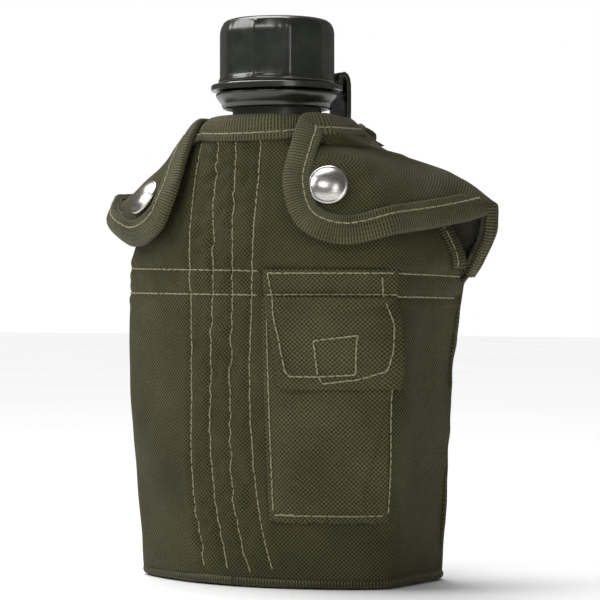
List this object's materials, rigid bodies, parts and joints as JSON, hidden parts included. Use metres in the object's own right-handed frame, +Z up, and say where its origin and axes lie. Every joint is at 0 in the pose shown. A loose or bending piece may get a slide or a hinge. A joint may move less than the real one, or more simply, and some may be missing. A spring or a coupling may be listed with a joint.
{
  "type": "canteen",
  "caption": "Screw-capped kidney-shaped water bottle in a padded olive nylon belt cover with snap-down shoulder flaps and a small front pocket.",
  "frame": {"origin": "on the bottle neck's axis, level with the underside", "axes": "+Z up, front (pocket side) faces -Y, +X towards the pocket as the front is looked at"},
  "size_m": [0.165, 0.0871, 0.224],
  "materials": {
    "bottle_plastic": "matte",
    "cap_plastic": "glossy",
    "seal_rubber": "matte",
    "nylon": "woven",
    "binding_tape": "ribbed",
    "pile": "napped",
    "hook_and_loop": "napped",
    "webbing": "ribbed",
    "snap_metal": "polished",
    "clip_steel": "satin"
  },
  "bodies": {
    "cover": {"bottle": "bottle_plastic", "neck_loop": "cap_plastic", "cap_strap": "cap_plastic", "front_panel": "nylon", "front_lining": "pile", "front_binding": "binding_tape", "back_panel": "nylon", "back_lining": "pile", "bottom_panel": "nylon", "bottom_lining": "pile", "bottom_welt": "binding_tape", "pocket": "nylon", "pocket_flap_root": "nylon", "loop_patch": "hook_and_loop", "snap_stud_right": "snap_metal", "snap_post_right": "snap_metal", "snap_stud_left": "snap_metal", "snap_post_left": "snap_metal", "webbing_upper": "webbing", "webbing_lower": "webbing", "belt_clip_right": "clip_steel", "belt_clip_left": "clip_steel"},
    "cap_loop": {"cap_loop": "cap_plastic"},
    "cap": {"cap": "cap_plastic", "cap_seal": "seal_rubber"},
    "flap_right": {"flap_right": "nylon", "flap_binding_right": "binding_tape", "snap_cap_right": "snap_metal", "snap_socket_right": "snap_metal"},
    "flap_left": {"flap_left": "nylon", "flap_binding_left": "binding_tape", "snap_cap_left": "snap_metal", "snap_socket_left": "snap_metal"},
    "pocket_flap": {"pocket_flap": "nylon", "hook_patch": "hook_and_loop"},
    "clip_slide_right": {"clip_slide_right": "clip_steel"},
    "clip_slide_left": {"clip_slide_left": "clip_steel"}
  },
  "joints": [
    {"name": "cap_lift", "type": "slide", "parent": "cover", "child": "cap_loop", "axis": [0, 0, 1], "range_m": [0, 0.0401], "deforming": ["cap_strap"]},
    {"name": "cap_turn", "type": "hinge", "parent": "cap_loop", "child": "cap", "pos_m": [0, 0, 0.2], "axis": [0, 0, 1], "range_deg": [0, 2880]},
    {"name": "flap_right_open", "type": "hinge", "parent": "cover", "child": "flap_right", "pos_m": [0.0502, 0.0222, 0.168], "axis": [-0.8517, 0, 0.524], "range_deg": [0, 120]},
    {"name": "flap_left_open", "type": "hinge", "parent": "cover", "child": "flap_left", "pos_m": [-0.0523, 0.0222, 0.168], "axis": [-0.8616, 0, -0.5075], "range_deg": [0, 120]},
    {"name": "pocket_flap_open", "type": "hinge", "parent": "cover", "child": "pocket_flap", "pos_m": [0.044, -0.02706, 0.1135], "axis": [-0.899, -0.438, 0], "range_deg": [0, 135]},
    {"name": "clip_right_unlock", "type": "slide", "parent": "cover", "child": "clip_slide_right", "axis": [0, 0, -1], "range_m": [0, 0.008]},
    {"name": "clip_left_unlock", "type": "slide", "parent": "cover", "child": "clip_slide_left", "axis": [0, 0, -1], "range_m": [0, 0.008]}
  ],
  "couplings": [
    {"joint": "cap_lift", "follows": "cap_turn", "m_per_rad": 0.00079577}
  ]
}
